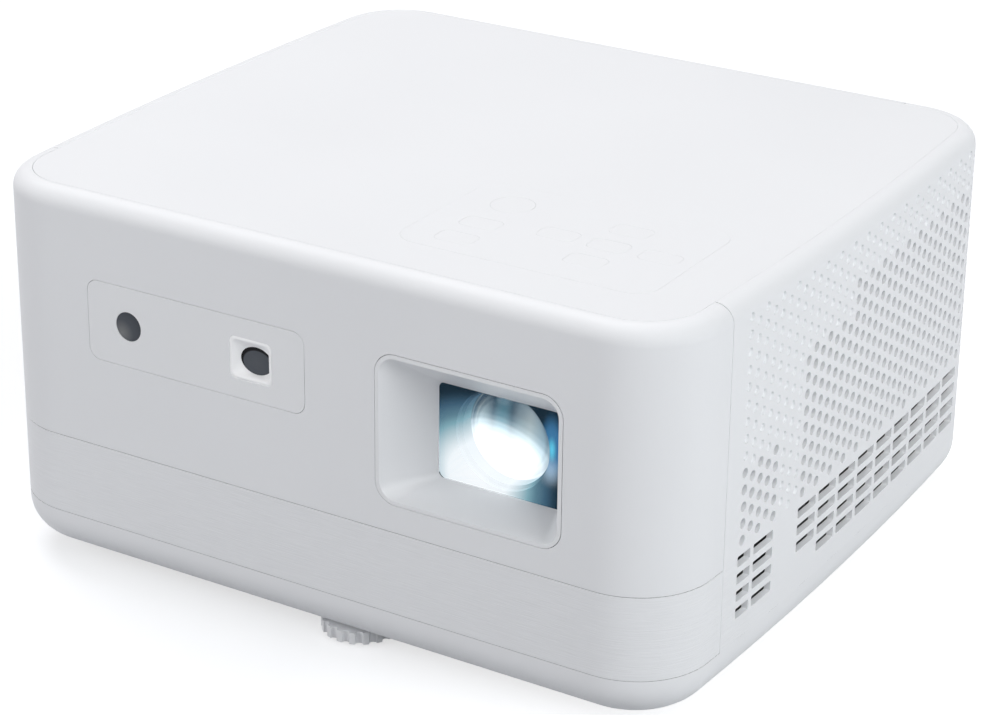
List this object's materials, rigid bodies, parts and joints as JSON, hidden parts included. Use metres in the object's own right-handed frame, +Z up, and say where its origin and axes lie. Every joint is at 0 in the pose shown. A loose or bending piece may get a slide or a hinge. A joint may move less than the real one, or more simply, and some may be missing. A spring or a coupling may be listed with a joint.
{
  "type": "compact laser projector",
  "caption": "Compact white table projector with a recessed lens, front sensor panel, pierced side grilles, top keypad, rear sockets and a screw foot.",
  "frame": {"origin": "centre of the plan on the table top that the feet stand on", "axes": "+X to the right side seen from behind the lens, which looks along -Y; +Z up"},
  "size_m": [0.22, 0.1974, 0.1135],
  "materials": {
    "white_case": "fine matt moulded texture",
    "white_trim": "smooth satin",
    "white_grille": "fine matt moulded texture",
    "key_plastic": "smooth satin",
    "dark_window": "infrared-pass, glossy",
    "clear_glass": "coated, clear",
    "lens_glass": "multi-coated",
    "black_plastic": "matt",
    "black_fan": "satin",
    "cast_metal": "as cast",
    "fin_metal": "extruded",
    "steel": "plain",
    "brass": "knurled insert",
    "board_green": "solder resist",
    "phosphor": "phosphor coat on a metal disc",
    "rubber": "matt",
    "socket_metal": "plated shell",
    "foot_plastic": "moulded",
    "cone_paper": "pressed paper"
  },
  "bodies": {
    "housing": {"base_tray": "white_case", "front_band": "white_case", "front_cover": "white_case", "right_grille": "white_grille", "left_grille": "white_grille", "rear_cover": "white_case", "top_panel": "white_case", "ceiling_inserts": "brass", "case_screws": "steel", "sensor_panel": "white_trim", "ir_window": "dark_window", "distance_sensor_lens": "dark_window", "sensor_board": "board_green", "ir_receiver": "black_plastic", "lens_surround": "white_trim", "window_glass": "clear_glass", "lens_mask": "black_plastic", "rear_lens": "lens_glass", "lens_barrel": "black_plastic", "focus_motor": "steel", "guide_rod": "steel", "light_engine": "cast_metal", "image_chip_board": "board_green", "image_chip_heatsink": "fin_metal", "laser_module": "cast_metal", "laser_heatsink": "fin_metal", "wheel_motor": "steel", "keypad_frame": "white_case", "keypad_board": "board_green", "right_fan_frame": "black_plastic", "left_fan_frame": "black_plastic", "main_board": "board_green", "power_board": "board_green", "transformer": "black_plastic", "speaker_box": "black_plastic", "speaker_cone": "cone_paper", "hdmi_socket_1": "socket_metal", "hdmi_socket_2": "socket_metal", "usb_socket": "socket_metal", "audio_jack": "black_plastic", "power_inlet": "black_plastic", "rear_feet": "rubber"},
    "power_key": {"power_key": "key_plastic"},
    "source_key": {"source_key": "key_plastic"},
    "menu_key": {"menu_key": "key_plastic"},
    "ok_key": {"ok_key": "key_plastic"},
    "up_key": {"up_key": "key_plastic"},
    "down_key": {"down_key": "key_plastic"},
    "left_key": {"left_key": "key_plastic"},
    "right_key": {"right_key": "key_plastic"},
    "foot_pad": {"foot_pad": "rubber"},
    "foot_knob": {"foot_knob": "foot_plastic"},
    "right_fan": {"right_fan_rotor": "black_fan"},
    "left_fan": {"left_fan_rotor": "black_fan"},
    "phosphor_wheel": {"phosphor_wheel": "phosphor"},
    "focus_cell": {"focus_cell": "black_plastic", "front_lens": "lens_glass"},
    "focus_screw": {"focus_screw": "steel"}
  },
  "joints": [
    {"name": "power_press", "type": "slide", "parent": "housing", "child": "power_key", "axis": [0, 0, -1], "range_m": [0, 0.0006], "stiffness_N_per_m": 300, "springref_m": -0.001},
    {"name": "source_press", "type": "slide", "parent": "housing", "child": "source_key", "axis": [0, 0, -1], "range_m": [0, 0.0006], "stiffness_N_per_m": 300, "springref_m": -0.001},
    {"name": "menu_press", "type": "slide", "parent": "housing", "child": "menu_key", "axis": [0, 0, -1], "range_m": [0, 0.0006], "stiffness_N_per_m": 300, "springref_m": -0.001},
    {"name": "ok_press", "type": "slide", "parent": "housing", "child": "ok_key", "axis": [0, 0, -1], "range_m": [0, 0.0006], "stiffness_N_per_m": 300, "springref_m": -0.001},
    {"name": "up_press", "type": "slide", "parent": "housing", "child": "up_key", "axis": [0, 0, -1], "range_m": [0, 0.0006], "stiffness_N_per_m": 300, "springref_m": -0.001},
    {"name": "down_press", "type": "slide", "parent": "housing", "child": "down_key", "axis": [0, 0, -1], "range_m": [0, 0.0006], "stiffness_N_per_m": 300, "springref_m": -0.001},
    {"name": "left_press", "type": "slide", "parent": "housing", "child": "left_key", "axis": [0, 0, -1], "range_m": [0, 0.0006], "stiffness_N_per_m": 300, "springref_m": -0.001},
    {"name": "right_press", "type": "slide", "parent": "housing", "child": "right_key", "axis": [0, 0, -1], "range_m": [0, 0.0006], "stiffness_N_per_m": 300, "springref_m": -0.001},
    {"name": "front_foot_height", "type": "slide", "parent": "housing", "child": "foot_pad", "axis": [0, 0, -1], "range_m": [0, 0.008]},
    {"name": "front_foot_turn", "type": "hinge", "parent": "foot_pad", "child": "foot_knob", "pos_m": [0.006, -0.0835, 0], "axis": [0, 0, -1], "range_deg": [0, 2304]},
    {"name": "focus_slide", "type": "slide", "parent": "housing", "child": "focus_cell", "axis": [0, 1, 0], "range_m": [0, 0.003]},
    {"name": "focus_screw_turn", "type": "hinge", "parent": "housing", "child": "focus_screw", "pos_m": [0.0766, -0.0787, 0.068], "axis": [0, 1, 0], "range_deg": [0, 1080]},
    {"name": "right_fan_spin", "type": "hinge", "parent": "housing", "child": "right_fan", "pos_m": [0.091, 0.028, 0.0507], "axis": [1, 0, 0], "continuous": true},
    {"name": "left_fan_spin", "type": "hinge", "parent": "housing", "child": "left_fan", "pos_m": [-0.091, 0.028, 0.0507], "axis": [-1, 0, 0], "continuous": true},
    {"name": "phosphor_wheel_spin", "type": "hinge", "parent": "housing", "child": "phosphor_wheel", "pos_m": [0.013, -0.0257, 0.077], "axis": [1, 0, 0], "continuous": true}
  ],
  "couplings": [
    {"joint": "front_foot_turn", "follows": "front_foot_height", "rad_per_m": 5026.5},
    {"joint": "focus_screw_turn", "follows": "focus_slide", "rad_per_m": 6283.2}
  ]
}
